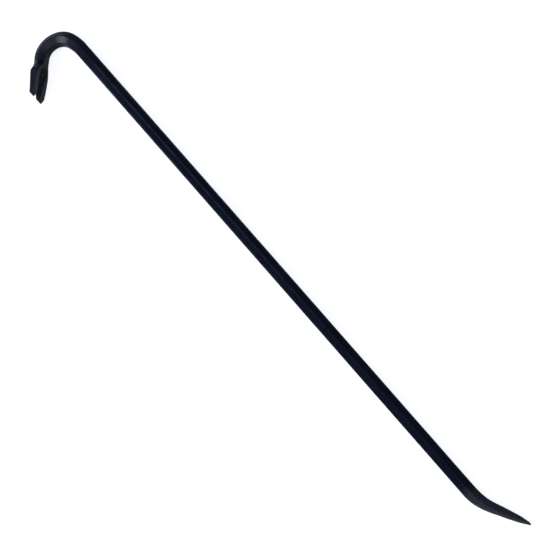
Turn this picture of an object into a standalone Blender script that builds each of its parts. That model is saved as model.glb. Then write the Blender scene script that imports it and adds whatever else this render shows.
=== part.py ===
"""Gooseneck wrecking bar: one hexagonal steel bar, hooked and spread into a nail claw at one end and
drawn out into a cranked chisel at the other. The bar is a loft of cross-sections along a bent spine."""

import math

import bmesh
import bpy
import numpy as np
from mathutils import Vector

for old in list(bpy.data.objects):
    bpy.data.objects.remove(old, do_unlink=True)

# Shank: a hexagonal bar with two flats facing the inside and the outside of the hook
ACROSS_FLATS = 0.020
SHANK_LENGTH = 1.0330
CORNER_RADIUS = 0.0016

# Gooseneck: an easy sweep out of the shank, then the tight bend to the claw
SWEEP_RADIUS = 0.089
SWEEP_TURN = math.radians(18)
BEND_RADIUS = 0.0278
BEND_TURN = math.radians(122)
HEXAGON_LEFT_AT = math.radians(60)

# Claw: straight behind the bend, first a neck, then a shoulder, then the spread blade with bevelled tips
CLAW_REACH = 0.0643
NECK_THICKNESS_OUT = 0.0098
NECK_THICKNESS_IN = 0.0082
NECK_WIDTH = 0.0228
NECK_FLAT = 0.0150
SHOULDER_START = 0.0562
SHOULDER_END = 0.0335
SHOULDER_WIDTH = 0.0396
BACK_AT_SHOULDER = 0.0075
BACK_AT_TIP = 0.0054
CLAW_ROOT = 0.0033
CLAW_AT_BEVEL = 0.0006
BEVEL_LENGTH = 0.0056
CLAW_TIP_WIDTH = 0.0396
TIP_THICKNESS = 0.0013
BLADE_CHAMFER = 0.0009

# Nail slot: narrow on the back of the claw, opening towards its inner face and its tips
SLOT_DEPTH = 0.0390
SLOT_ROOT_WIDTH = 0.0044
SLOT_WIDTH = 0.0052
SLOT_MOUTH_WIDTH = 0.0086
MOUTH_LENGTH = 0.0055
SLOT_WALL_SLOPE = math.radians(30)

# Chisel: a crank away from the hook side, then a wedge drawn out to a narrow edge
CRANK_RADIUS = 0.133
CRANK_TURN = math.radians(21.4)
CHISEL_LENGTH = 0.0660
WEDGE_LENGTH = 0.0560
WEDGE_THICKNESS = 0.0110
WEDGE_WIDTH = 0.0180
GROUND_LENGTH = 0.0176
GROUND_THICKNESS = 0.0073
GROUND_WIDTH = 0.0120
EDGE_THICKNESS = 0.0020
EDGE_WIDTH = 0.0096

# How finely the curved stretches are cut
RING_STEP = 0.0026
CORNER_POINTS = 3
SLOT_ARC_POINTS = 9

HEX_CORNER = ACROSS_FLATS / math.sqrt(3)
HOOK = ((SWEEP_RADIUS * SWEEP_TURN, SWEEP_RADIUS), (BEND_RADIUS * BEND_TURN, BEND_RADIUS), (CLAW_REACH, 0))
TAIL = ((CRANK_RADIUS * CRANK_TURN, CRANK_RADIUS), (CHISEL_LENGTH, 0))
SHANK_START = sum(length for length, _ in HOOK)
CRANK_START = SHANK_START + SHANK_LENGTH
BAR_END = CRANK_START + sum(length for length, _ in TAIL)


def walk(point, heading, stretches, distance):
    """Follow straight stretches (radius 0) and left-hand arcs. Returns the point and the heading there."""
    for length, radius in stretches:
        step = min(length, distance)
        distance -= step
        if radius:
            turn = step / radius
            point = point + radius * Vector((math.sin(heading + turn) - math.sin(heading),
                                             math.cos(heading) - math.cos(heading + turn), 0))
            heading += turn
        else:
            point = point + step * Vector((math.cos(heading), math.sin(heading), 0))
    return point, heading


def spine(distance):
    """Point and outward normal of the spine, by distance from the claw's tips.

    The shank runs along +X from the origin, the hook curls towards -Y and the chisel cranks towards +Y."""
    if distance <= SHANK_START:
        point, heading = walk(Vector((0, 0, 0)), math.pi, HOOK, SHANK_START - distance)
        return point, Vector((math.sin(heading), -math.cos(heading), 0))
    start = Vector((min(SHANK_LENGTH, distance - SHANK_START), 0, 0))
    point, heading = walk(start, 0.0, TAIL, max(0.0, distance - CRANK_START))
    return point, Vector((-math.sin(heading), math.cos(heading), 0))


def hexagon():
    """The bar's own section: thickness out and in, half width, flank out and in, half flat out and in."""
    half = ACROSS_FLATS / 2
    flank = CORNER_RADIUS / 4
    return half, half, HEX_CORNER, flank, flank, HEX_CORNER / 2, HEX_CORNER / 2


def flat_bar(outer, inner, width):
    """A flat section with chamfered edges, in the same terms as the hexagon."""
    chamfer = min(BLADE_CHAMFER, (outer + inner) / 4)
    half = width / 2
    return outer, inner, half, outer - chamfer, inner - chamfer, half - chamfer, half - chamfer


def neck():
    """The flattened hexagon between the gooseneck and the claw's shoulder."""
    flank = CORNER_RADIUS
    return (NECK_THICKNESS_OUT, NECK_THICKNESS_IN, NECK_WIDTH / 2, flank, flank,
            HEX_CORNER / 2, NECK_FLAT / 2)


def claw(inner, from_tip):
    """The claw's flat section. Its back is flat, and its width flares evenly from the shoulder to the tips."""
    share = from_tip / SHOULDER_END
    back = BACK_AT_TIP + (BACK_AT_SHOULDER - BACK_AT_TIP) * share
    width = CLAW_TIP_WIDTH + (SHOULDER_WIDTH - CLAW_TIP_WIDTH) * share
    return from_tip, flat_bar(back, inner, width)


def wedge(thickness, width, from_edge):
    """The chisel's flat section."""
    return BAR_END - from_edge, flat_bar(thickness / 2, thickness / 2, width)


def stations():
    """Distances from the claw's tips, and the section at each."""
    left_hexagon = CLAW_REACH + BEND_RADIUS * (BEND_TURN - HEXAGON_LEFT_AT)
    return [
        claw(TIP_THICKNESS - BACK_AT_TIP, 0.0),
        claw(CLAW_AT_BEVEL, BEVEL_LENGTH),
        claw(CLAW_ROOT, SHOULDER_END),
        (SHOULDER_START, neck()),
        (left_hexagon, hexagon()),
        (CRANK_START, hexagon()),
        wedge(WEDGE_THICKNESS, WEDGE_WIDTH, WEDGE_LENGTH),
        wedge(GROUND_THICKNESS, GROUND_WIDTH, GROUND_LENGTH),
        wedge(EDGE_THICKNESS, EDGE_WIDTH, 0.0),
    ]


def section_at(distance, places, sections):
    """Smooth blend of the stations' sections, with no overshoot between them."""
    index = min(len(places) - 2, max(0, int(np.searchsorted(places, distance, side="right")) - 1))
    steps = np.diff(places)
    slopes = np.diff(sections, axis=0) / steps[:, None]
    tangents = np.zeros_like(sections)
    tangents[0] = slopes[0]
    tangents[-1] = slopes[-1]
    same_way = slopes[:-1] * slopes[1:] > 0
    total = np.where(same_way, slopes[:-1] + slopes[1:], 1.0)
    tangents[1:-1] = np.where(same_way, 2 * slopes[:-1] * slopes[1:] / total, 0.0)
    step = steps[index]
    t = (distance - places[index]) / step
    start = (2 * t ** 3 - 3 * t ** 2 + 1) * sections[index]
    start = start + (t ** 3 - 2 * t ** 2 + t) * step * tangents[index]
    finish = (3 * t ** 2 - 2 * t ** 3) * sections[index + 1]
    return start + finish + (t ** 3 - t ** 2) * step * tangents[index + 1]


def rounded(corners, radius):
    """The corners of a closed outline, each replaced by a short arc."""
    points = []
    for index, corner in enumerate(corners):
        before = corners[index - 1] - corner
        after = corners[(index + 1) % len(corners)] - corner
        bend = math.pi - before.angle(after)
        reach = min(radius * math.tan(bend / 2), 0.45 * before.length, 0.45 * after.length)
        start = corner + before.normalized() * reach
        end = corner + after.normalized() * reach
        for step in range(CORNER_POINTS):
            t = step / (CORNER_POINTS - 1)
            points.append(start * (1 - t) ** 2 + corner * 2 * t * (1 - t) + end * t ** 2)
    return points


def ring(bm, distance, section):
    """One cross-section of the bar, as vertices round the spine."""
    outer, inner, half, flank_out, flank_in, flat_out, flat_in = section
    corners = [Vector(pair) for pair in (
        (flat_out, outer), (-flat_out, outer), (-half, flank_out), (-half, -flank_in),
        (-flat_in, -inner), (flat_in, -inner), (half, -flank_in), (half, flank_out))]
    centre, normal = spine(distance)
    return [bm.verts.new(centre + normal * point.y + Vector((0, 0, point.x)))
            for point in rounded(corners, CORNER_RADIUS)]


def ring_distances(places):
    """Where rings are needed: close together on curved stretches, none along the straight shank."""
    distances = []
    for start, end in zip(places[:-1], places[1:]):
        pieces = max(1, round((end - start) / RING_STEP))
        distances += [start + (end - start) * piece / pieces for piece in range(pieces)]
    kept = [d for d in distances if not SHANK_START < d < CRANK_START]
    return sorted(set(kept + [SHANK_START, CRANK_START, places[-1]]))


def bar_mesh():
    """Loft the rings into one closed skin."""
    listed = stations()
    places = [place for place, _ in listed]
    sections = np.array([section for _, section in listed])
    bm = bmesh.new()
    rings = [ring(bm, d, section_at(d, places, sections)) for d in ring_distances(places)]
    for lower, upper in zip(rings[:-1], rings[1:]):
        for index in range(len(lower)):
            other = (index + 1) % len(lower)
            bm.faces.new((lower[index], lower[other], upper[other], upper[index]))
    bm.faces.new(rings[0])
    bm.faces.new(rings[-1])
    bmesh.ops.recalc_face_normals(bm, faces=bm.faces)
    mesh = bpy.data.meshes.new("forged_bar")
    bm.to_mesh(mesh)
    bm.free()
    return mesh


def slot_loop(bm, height):
    """The nail slot's outline at a height above the claw's back face: a round root, sides that part
    slightly, and a wider mouth at the tips."""
    widening = height * math.tan(SLOT_WALL_SLOPE)
    root = SLOT_ROOT_WIDTH / 2 + widening
    side = SLOT_WIDTH / 2 + widening
    mouth_slope = (SLOT_MOUTH_WIDTH - SLOT_WIDTH) / 2 / MOUTH_LENGTH
    past_tip = MOUTH_LENGTH
    mouth = SLOT_MOUTH_WIDTH / 2 + widening + mouth_slope * past_tip
    centre = SLOT_DEPTH - SLOT_ROOT_WIDTH / 2
    outline = [(-past_tip, -mouth), (MOUTH_LENGTH, -side)]
    for step in range(SLOT_ARC_POINTS):
        angle = math.pi * (step / (SLOT_ARC_POINTS - 1) - 0.5)
        outline.append((centre + root * math.cos(angle), root * math.sin(angle)))
    outline += [(MOUTH_LENGTH, side), (-past_tip, mouth)]
    tip, normal = spine(0.0)
    inward = Vector((normal.y, -normal.x, 0))
    back_slope = (BACK_AT_SHOULDER - BACK_AT_TIP) / SHOULDER_END
    points = []
    for reach, across in outline:
        back = BACK_AT_TIP + back_slope * reach
        points.append(tip + inward * reach + normal * (back - height) + Vector((0, 0, across)))
    return [bm.verts.new(point) for point in points]


def slot_cutter():
    """The solid that the Boolean takes out of the claw."""
    bm = bmesh.new()
    back = slot_loop(bm, -BLADE_CHAMFER)
    front = slot_loop(bm, ACROSS_FLATS)
    for index in range(len(back)):
        other = (index + 1) % len(back)
        bm.faces.new((back[index], back[other], front[other], front[index]))
    bm.faces.new(back)
    bm.faces.new(front)
    bmesh.ops.recalc_face_normals(bm, faces=bm.faces)
    mesh = bpy.data.meshes.new("nail_slot_cutter")
    bm.to_mesh(mesh)
    bm.free()
    cutter = bpy.data.objects.new("nail_slot_cutter", mesh)
    bpy.context.collection.objects.link(cutter)
    cutter.hide_render = True
    cutter.display_type = "WIRE"
    return cutter


def black_paint():
    """Near black paint with a trace of navy, satin."""
    material = bpy.data.materials.new("black_paint")
    material.use_nodes = True
    shader = material.node_tree.nodes["Principled BSDF"]
    shader.inputs["Base Color"].default_value = (0.010, 0.013, 0.022, 1)
    shader.inputs["Roughness"].default_value = 0.38
    shader.inputs["Metallic"].default_value = 0.0
    return material


def rest_tilt(points):
    """Turn about X at which the claw's lower edge and the shank's lower corner reach the floor together."""
    hook = [point for point in points if point.y < -ACROSS_FLATS]
    return max(math.atan2(-point.z - HEX_CORNER, -point.y) for point in hook)


def lay_down(bar):
    """Rest the bar on z = 0, with the middle of its outline over the origin."""
    points = [vertex.co for vertex in bar.data.vertices]
    bar.rotation_euler.x = -rest_tilt(points)
    turned = np.array([bar.rotation_euler.to_matrix() @ point for point in points])
    low = turned.min(axis=0)
    high = turned.max(axis=0)
    bar.location = (-(low[0] + high[0]) / 2, -(low[1] + high[1]) / 2, -low[2])


def main():
    bar = bpy.data.objects.new("forged_bar", bar_mesh())
    bpy.context.collection.objects.link(bar)
    bar.data.materials.append(black_paint())
    lay_down(bar)
    cutter = slot_cutter()
    cutter.parent = bar
    cut = bar.modifiers.new("nail_slot", "BOOLEAN")
    cut.operation = "DIFFERENCE"
    cut.solver = "EXACT"
    cut.object = cutter
    bar.data.shade_smooth()
    bar.data.set_sharp_from_angle(angle=math.radians(28))


main()
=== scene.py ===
"""Looks of the gooseneck wrecking bar: a painted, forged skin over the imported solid, on a pale floor."""

import math

import bmesh
import bpy
from mathutils import Matrix, Vector, noise

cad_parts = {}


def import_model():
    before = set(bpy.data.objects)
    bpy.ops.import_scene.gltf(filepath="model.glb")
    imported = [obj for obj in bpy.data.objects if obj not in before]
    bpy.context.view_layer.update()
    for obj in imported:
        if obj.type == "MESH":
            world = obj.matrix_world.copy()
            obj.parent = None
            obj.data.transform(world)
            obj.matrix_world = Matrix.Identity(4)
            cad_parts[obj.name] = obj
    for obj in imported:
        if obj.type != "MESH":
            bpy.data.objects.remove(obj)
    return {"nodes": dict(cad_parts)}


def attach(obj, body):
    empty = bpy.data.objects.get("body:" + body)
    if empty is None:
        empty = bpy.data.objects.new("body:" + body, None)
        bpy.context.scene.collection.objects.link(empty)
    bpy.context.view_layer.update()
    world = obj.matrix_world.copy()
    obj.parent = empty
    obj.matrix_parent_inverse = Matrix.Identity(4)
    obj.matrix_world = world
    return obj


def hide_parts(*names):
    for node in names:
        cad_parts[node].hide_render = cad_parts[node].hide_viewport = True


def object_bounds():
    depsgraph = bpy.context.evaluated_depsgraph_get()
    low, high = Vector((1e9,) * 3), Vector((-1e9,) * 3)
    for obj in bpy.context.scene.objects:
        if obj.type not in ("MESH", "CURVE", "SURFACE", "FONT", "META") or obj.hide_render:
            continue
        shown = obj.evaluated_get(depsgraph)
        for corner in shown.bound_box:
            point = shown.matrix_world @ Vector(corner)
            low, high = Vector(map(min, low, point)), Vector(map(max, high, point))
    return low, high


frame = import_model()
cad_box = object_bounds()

# The bar's box: its hook ends at the low corner's x, its chisel at the high corner's
low_corner = Vector(cad_box[0])
high_corner = Vector(cad_box[1])

# Camera: a long lens from above the bar, turned so that the shank runs corner to corner
TARGET = Vector((0.00441, 0.02807, 0.01181))
VIEW_AZIMUTH = math.radians(8.940)
VIEW_ELEVATION = math.radians(52.907)
VIEW_ROLL = math.radians(-52.397)
VIEW_DISTANCE = 12.722
LENS_MM = 578.57
SENSOR_MM = 36
CLIP_END = 60

# Skin: how the solid's faces are joined and cut finer, in metres
WELD = 1e-6
FLAT_JOIN = math.radians(20)
SHAPE_JOIN = math.radians(60)
LONG_EDGE = 0.5
SHANK_CUTS = 255
FINE_EDGE = 0.0045
FINE_PASSES = 4
SHARP_ANGLE = math.radians(40)

# Skin: how uneven rolling and forging left it, in metres
HOOK_ZONE = 0.105
CHISEL_ZONE = 0.115
SHANK_WAVE = 0.00006
FORGED_WAVE = 0.00014
HAMMER_WAVE = 0.00010
WAVE_SIZE = 0.045
HAMMER_SIZE = 0.011

# Paint: linear colours, and roughness with what each place adds to it
PAINT_DEEP = (0.0030, 0.0043, 0.0096, 1)
PAINT_BLUE = (0.0047, 0.0069, 0.0166, 1)
PAINT_PALE = (0.0078, 0.0102, 0.0205, 1)
# Lighter corner colour: rubbed paint, and a painted glint of light along the corners
PAINT_RUBBED_AND_GLINT = (0.0480, 0.0590, 0.0880, 1)
PAINT_SPECULAR = 0.25
SATIN = 0.12
DULL = 0.18
MARK_DULLING = 0.03
HOOK_DULLING = 0.14
CHISEL_DULLING = 0.42

# Stretches along which the paint changes, measured in from the bar's ends; the forged one is for both ends
FORGED_SPAN = (high_corner.x - 0.130, high_corner.x - 0.070)
HOOK_SPAN = (low_corner.x + 0.070, low_corner.x + 0.280)
CHISEL_SPAN = (high_corner.x - 0.135, high_corner.x - 0.075)
# Along this stretch the corners' rubbed paint and painted glint fade from the hook towards the chisel
RUB_AND_GLINT_SPAN = (low_corner.x + 0.140, high_corner.x - 0.260)

# Patterns of the paint: detail of the noise, sizes in metres, the range used of each field, and shares
BROAD_DETAIL = 2
FINE_DETAIL = 3
PATCH_SIZE = 0.035
PATCH_RANGE = (0.30, 0.70)
MOTTLE_SIZE = 0.0045
MOTTLE_RANGE = (0.36, 0.70)
MOTTLE_SHARE = 0.55
DULL_SIZE = 0.022
DULL_RANGE = (0.32, 0.68)
MARK_LENGTH = 0.060
MARK_WIDTH = 0.0014
MARK_RANGE = (0.35, 0.75)
# Corners lighter from rubbed paint and a painted glint of light: lump size, range, least and remaining shares
RUB_AND_GLINT_SIZE = 0.018
RUB_AND_GLINT_RANGE = (0.30, 0.62)
RUB_AND_GLINT_LEAST = 0.25
RUB_AND_GLINT_LEFT = 0.05
RUB_AND_GLINT_ON_ENDS = 0.15
CORNER_RANGE = (0.503, 0.518)

# Relief of the paint: sizes and depths in metres
PEEL_SIZE = 0.0011
PEEL_DEPTH = 0.000045
MARK_DEPTH = 0.000035
SCALE_SIZE = 0.0032
SCALE_DEPTH = 0.000220
CORNER_SOFTNESS = 0.0018
CORNER_SAMPLES = 6

# A mix node has sockets for numbers, vectors and colours: these are the ones for colours
MIX_FIRST = 6
MIX_SECOND = 7
MIX_RESULT = 2

# Light: softboxes over the claw's side of the bar, among dimmer and bluer surroundings
SOFT_WHITE = (0.86, 0.93, 1.00)
SOFT_BLUE = (0.66, 0.76, 1.00)
WORLD_STRENGTH = 0.07

# Panels: name, direction from the bar, width in degrees, radiance and colour
PANELS = (
    ("softbox", (-0.05, -0.67, 0.74), 34, 6.0, SOFT_WHITE),
    ("softbox_upper", (0.05, -0.52, 0.85), 40, 0.8, SOFT_WHITE),
    ("softbox_edge", (-0.28, -0.80, 0.53), 20, 0.60, SOFT_WHITE),
    ("ceiling_front", (0.66, 0.25, 0.70), 50, 0.8, SOFT_BLUE),
    ("ceiling_right", (0.28, 0.00, 0.96), 46, 1.0, SOFT_BLUE),
    ("ceiling_back", (0.00, 0.45, 0.89), 44, 0.9, SOFT_BLUE),
    ("ceiling_left", (-0.66, 0.12, 0.74), 30, 0.45, SOFT_BLUE))

# Floor: half its width, its colour, the white added for the camera, and the share of that for gloss
FLOOR_HALF = 30
FLOOR_COLOUR = (0.40, 0.40, 0.40, 1)
FLOOR_WHITE = 0.85
FLOOR_IN_GLOSS = 0.20


def link(name, data):
    """A new object in the scene's collection."""
    thing = bpy.data.objects.new(name, data)
    bpy.context.scene.collection.objects.link(thing)
    return thing


def forged_share(x):
    """0 on the rolled shank, rising to 1 halfway into the zone of the hook or the chisel."""
    from_hook = (low_corner.x + HOOK_ZONE - x) / (HOOK_ZONE / 2)
    from_chisel = (x - high_corner.x + CHISEL_ZONE) / (CHISEL_ZONE / 2)
    share = min(1.0, max(0.0, from_hook, from_chisel))
    return share * share * (3 - 2 * share)


def unevenness(point):
    """Height of the forging's waves and hammer marks at a point of the skin."""
    share = forged_share(point.x)
    wave = noise.noise(point / WAVE_SIZE) * (SHANK_WAVE + (FORGED_WAVE - SHANK_WAVE) * share)
    hammer = noise.noise(point / HAMMER_SIZE) * HAMMER_WAVE * share
    return wave + hammer


def cut_finer(bm):
    """Divide the shank along its length, then every wide face, so that the skin can be uneven."""
    along = [edge for edge in bm.edges if edge.calc_length() > LONG_EDGE]
    bmesh.ops.subdivide_edges(bm, edges=along, cuts=SHANK_CUTS, use_grid_fill=True)
    for _ in range(FINE_PASSES):
        wide = [edge for edge in bm.edges if edge.calc_length() > FINE_EDGE]
        bmesh.ops.subdivide_edges(bm, edges=wide, cuts=1, use_grid_fill=True)


def forged_skin(node):
    """A welded, smooth and slightly uneven copy of the bar."""
    bm = bmesh.new()
    bm.from_mesh(node.data)
    bmesh.ops.remove_doubles(bm, verts=bm.verts, dist=WELD)
    bmesh.ops.join_triangles(
        bm, faces=bm.faces, angle_face_threshold=FLAT_JOIN, angle_shape_threshold=SHAPE_JOIN)
    cut_finer(bm)
    bmesh.ops.triangulate(bm, faces=bm.faces, quad_method="SHORT_EDGE", ngon_method="BEAUTY")
    bm.normal_update()
    moves = [vertex.normal * unevenness(vertex.co) for vertex in bm.verts]
    for vertex, move in zip(bm.verts, moves):
        vertex.co += move
    mesh = bpy.data.meshes.new("forged_skin")
    bm.to_mesh(mesh)
    bm.free()
    mesh.shade_smooth()
    mesh.set_sharp_from_angle(angle=SHARP_ANGLE)
    skin = link("forged_skin", mesh)
    flats = skin.modifiers.new("flats_stay_flat", "WEIGHTED_NORMAL")
    flats.keep_sharp = True
    return skin


def noise_field(tree, where, size, detail):
    """A noise whose lumps are about as wide as size, in the units of where."""
    field = tree.nodes.new("ShaderNodeTexNoise")
    field.inputs["Scale"].default_value = 1 / size
    field.inputs["Detail"].default_value = detail
    tree.links.new(where, field.inputs["Vector"])
    return field.outputs["Fac"]


def spread(tree, field, span, low=0.0, high=1.0):
    """The part of a field within a span, stretched to run smoothly from low to high."""
    stretch = tree.nodes.new("ShaderNodeMapRange")
    stretch.interpolation_type = "SMOOTHSTEP"
    tree.links.new(field, stretch.inputs["Value"])
    stretch.inputs["From Min"].default_value = span[0]
    stretch.inputs["From Max"].default_value = span[1]
    stretch.inputs["To Min"].default_value = low
    stretch.inputs["To Max"].default_value = high
    return stretch.outputs["Result"]


def combine(tree, operation, first, second):
    """Two fields put together."""
    both = tree.nodes.new("ShaderNodeMath")
    both.operation = operation
    tree.links.new(first, both.inputs[0])
    tree.links.new(second, both.inputs[1])
    return both.outputs["Value"]


def scaled(tree, field, factor):
    """A field times a plain number."""
    times = tree.nodes.new("ShaderNodeMath")
    times.operation = "MULTIPLY"
    tree.links.new(field, times.inputs[0])
    times.inputs[1].default_value = factor
    return times.outputs["Value"]


def tint(tree, share, colour, other):
    """A colour, plain or from a node, that turns into a plain one where the share rises to 1."""
    mix = tree.nodes.new("ShaderNodeMix")
    mix.data_type = "RGBA"
    tree.links.new(share, mix.inputs["Factor"])
    if isinstance(colour, tuple):
        mix.inputs[MIX_FIRST].default_value = colour
    else:
        tree.links.new(colour, mix.inputs[MIX_FIRST])
    mix.inputs[MIX_SECOND].default_value = other
    return mix.outputs[MIX_RESULT]


def along_bar(tree, where):
    """The distance along the bar, from its middle towards the chisel."""
    parts = tree.nodes.new("ShaderNodeSeparateXYZ")
    tree.links.new(where, parts.inputs["Vector"])
    return parts.outputs["X"]


def forged_ends(tree, where, shank=0.0, ends=1.0):
    """One value along the rolled shank, which turns into another on the forged hook and chisel."""
    far = tree.nodes.new("ShaderNodeMath")
    far.operation = "ABSOLUTE"
    tree.links.new(along_bar(tree, where), far.inputs[0])
    return spread(tree, far.outputs["Value"], FORGED_SPAN, shank, ends)


def drawn_marks(tree, where):
    """Faint marks that run along the bar, left by rolling."""
    marks = tree.nodes.new("ShaderNodeMapping")
    marks.inputs["Scale"].default_value = (1 / MARK_LENGTH, 1 / MARK_WIDTH, 1 / MARK_WIDTH)
    tree.links.new(where, marks.inputs["Vector"])
    return noise_field(tree, marks.outputs["Vector"], size=1, detail=BROAD_DETAIL)


def rubbed_and_glinting_corners(tree, where):
    """Where the corners are lighter, in broken stretches along the shank's corners and most near the hook:
    partly rubbed paint, partly a painted glint of light along them.
    """
    shape = tree.nodes.new("ShaderNodeNewGeometry")
    corner = spread(tree, shape.outputs["Pointiness"], CORNER_RANGE)
    broken = spread(tree, noise_field(tree, where, RUB_AND_GLINT_SIZE, FINE_DETAIL), RUB_AND_GLINT_RANGE, RUB_AND_GLINT_LEAST, 1.0)
    towards_hook = spread(tree, along_bar(tree, where), RUB_AND_GLINT_SPAN, 1.0, RUB_AND_GLINT_LEFT)
    on_shank = forged_ends(tree, where, 1.0, RUB_AND_GLINT_ON_ENDS)
    rub_and_glint = combine(tree, "MULTIPLY", corner, broken)
    return combine(tree, "MULTIPLY", rub_and_glint, combine(tree, "MULTIPLY", towards_hook, on_shank))


def paint_colour(tree, where, rub_and_glint):
    """Near black with a trace of navy, in patches and fine mottling, paler on the corners where the paint is
    rubbed and a glint of light is painted.
    """
    patch = spread(tree, noise_field(tree, where, PATCH_SIZE, BROAD_DETAIL), PATCH_RANGE)
    mottle = spread(tree, noise_field(tree, where, MOTTLE_SIZE, FINE_DETAIL), MOTTLE_RANGE, 0.0, MOTTLE_SHARE)
    colour = tint(tree, patch, PAINT_DEEP, PAINT_BLUE)
    colour = tint(tree, mottle, colour, PAINT_PALE)
    return tint(tree, rub_and_glint, colour, PAINT_RUBBED_AND_GLINT)


def paint_roughness(tree, where):
    """Satin, duller in patches, along the drawn marks, on the hook and most on the chisel."""
    patch = spread(tree, noise_field(tree, where, DULL_SIZE, FINE_DETAIL), DULL_RANGE, SATIN, DULL)
    marks = spread(tree, drawn_marks(tree, where), MARK_RANGE, 0.0, MARK_DULLING)
    hook = spread(tree, along_bar(tree, where), HOOK_SPAN, HOOK_DULLING, 0.0)
    chisel = spread(tree, along_bar(tree, where), CHISEL_SPAN, 0.0, CHISEL_DULLING)
    ends = combine(tree, "ADD", hook, chisel)
    return combine(tree, "ADD", combine(tree, "ADD", patch, marks), ends)


def relief(tree, height, depth, under):
    """A bump of the given depth, on top of the shape under it."""
    bump = tree.nodes.new("ShaderNodeBump")
    bump.inputs["Strength"].default_value = 1.0
    bump.inputs["Distance"].default_value = depth
    tree.links.new(height, bump.inputs["Height"])
    tree.links.new(under, bump.inputs["Normal"])
    return bump.outputs["Normal"]


def soft_corners(tree):
    """The bar's own shape, its corners rounded off by the paint."""
    soft = tree.nodes.new("ShaderNodeBevel")
    soft.samples = CORNER_SAMPLES
    soft.inputs["Radius"].default_value = CORNER_SOFTNESS
    return soft.outputs["Normal"]


def paint_relief(tree, where):
    """Orange peel all over, drawn marks, and scale under the paint of the forged ends."""
    peel = relief(tree, noise_field(tree, where, PEEL_SIZE, BROAD_DETAIL), PEEL_DEPTH, soft_corners(tree))
    marks = relief(tree, drawn_marks(tree, where), MARK_DEPTH, peel)
    lumps = noise_field(tree, where, SCALE_SIZE, FINE_DETAIL)
    scale = combine(tree, "MULTIPLY", lumps, forged_ends(tree, where))
    return relief(tree, scale, SCALE_DEPTH, marks)


def black_paint():
    """Near black satin paint over a rolled and forged bar."""
    material = bpy.data.materials.new("black_paint_satin")
    material.use_nodes = True
    tree = material.node_tree
    shader = tree.nodes["Principled BSDF"]
    shader.inputs["Specular IOR Level"].default_value = PAINT_SPECULAR
    where = tree.nodes.new("ShaderNodeTexCoord").outputs["Object"]
    # Corners lighter from rubbed paint and a painted glint of light
    rub_and_glint = rubbed_and_glinting_corners(tree, where)
    tree.links.new(paint_colour(tree, where, rub_and_glint), shader.inputs["Base Color"])
    tree.links.new(paint_roughness(tree, where), shader.inputs["Roughness"])
    tree.links.new(paint_relief(tree, where), shader.inputs["Normal"])
    return material


def added_white(tree):
    """The white that the floor adds: in full for the camera and through glass, less for gloss."""
    rays = tree.nodes.new("ShaderNodeLightPath").outputs
    direct = combine(tree, "ADD", rays["Is Camera Ray"], rays["Is Transmission Ray"])
    mirrored = scaled(tree, rays["Is Glossy Ray"], FLOOR_IN_GLOSS)
    return scaled(tree, combine(tree, "ADD", direct, mirrored), FLOOR_WHITE)


def floor_white():
    """A plain pale surface that keeps the bar's shadow, and that the camera sees as white."""
    material = bpy.data.materials.new("floor_white")
    material.use_nodes = True
    tree = material.node_tree
    tree.nodes.clear()
    plain = tree.nodes.new("ShaderNodeBsdfDiffuse")
    plain.inputs["Color"].default_value = FLOOR_COLOUR
    white = tree.nodes.new("ShaderNodeEmission")
    tree.links.new(added_white(tree), white.inputs["Strength"])
    both = tree.nodes.new("ShaderNodeAddShader")
    tree.links.new(plain.outputs[0], both.inputs[0])
    tree.links.new(white.outputs[0], both.inputs[1])
    output = tree.nodes.new("ShaderNodeOutputMaterial")
    tree.links.new(both.outputs[0], output.inputs["Surface"])
    return material


def floor():
    """A wide floor under the bar."""
    mesh = bpy.data.meshes.new("floor")
    bm = bmesh.new()
    bmesh.ops.create_grid(bm, x_segments=1, y_segments=1, size=FLOOR_HALF)
    bm.to_mesh(mesh)
    bm.free()
    mesh.materials.append(floor_white())
    plane = link("floor", mesh)


def distant_panel(name, direction, width, radiance, colour):
    """A round light panel, far enough off to light the whole bar evenly."""
    lamp = bpy.data.lights.new(name, "SUN")
    lamp.angle = math.radians(width)
    # What a disc of this width and radiance throws on a face turned towards it
    lamp.energy = radiance * math.pi * math.sin(lamp.angle / 2) ** 2
    lamp.color = colour
    panel = link(name, lamp)
    panel.rotation_euler = Vector(direction).to_track_quat("Z", "Y").to_euler()


def world():
    """Even, dim surroundings."""
    surroundings = bpy.data.worlds.new("studio")
    surroundings.use_nodes = True
    background = surroundings.node_tree.nodes["Background"]
    background.inputs["Color"].default_value = (*SOFT_BLUE, 1)
    background.inputs["Strength"].default_value = WORLD_STRENGTH
    bpy.context.scene.world = surroundings


def camera():
    """The photograph's view."""
    eye = link("camera", bpy.data.cameras.new("camera"))
    level = math.cos(VIEW_ELEVATION)
    height = math.sin(VIEW_ELEVATION)
    towards = Vector((level * math.cos(VIEW_AZIMUTH), level * math.sin(VIEW_AZIMUTH), height))
    turn = towards.to_track_quat("Z", "Y").to_matrix() @ Matrix.Rotation(VIEW_ROLL, 3, "Z")
    eye.location = TARGET + towards * VIEW_DISTANCE
    eye.rotation_euler = turn.to_euler()
    eye.data.lens = LENS_MM
    eye.data.sensor_width = SENSOR_MM
    eye.data.clip_end = CLIP_END
    bpy.context.scene.camera = eye


# The bar, its stage and its view
bar = forged_skin(frame["nodes"]["forged_bar"])
bar.data.materials.append(black_paint())
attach(bar, "root")
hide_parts("forged_bar")

floor()
for panel in PANELS:
    distant_panel(*panel)
world()
camera()

bpy.context.scene.view_settings.view_transform = "Standard"
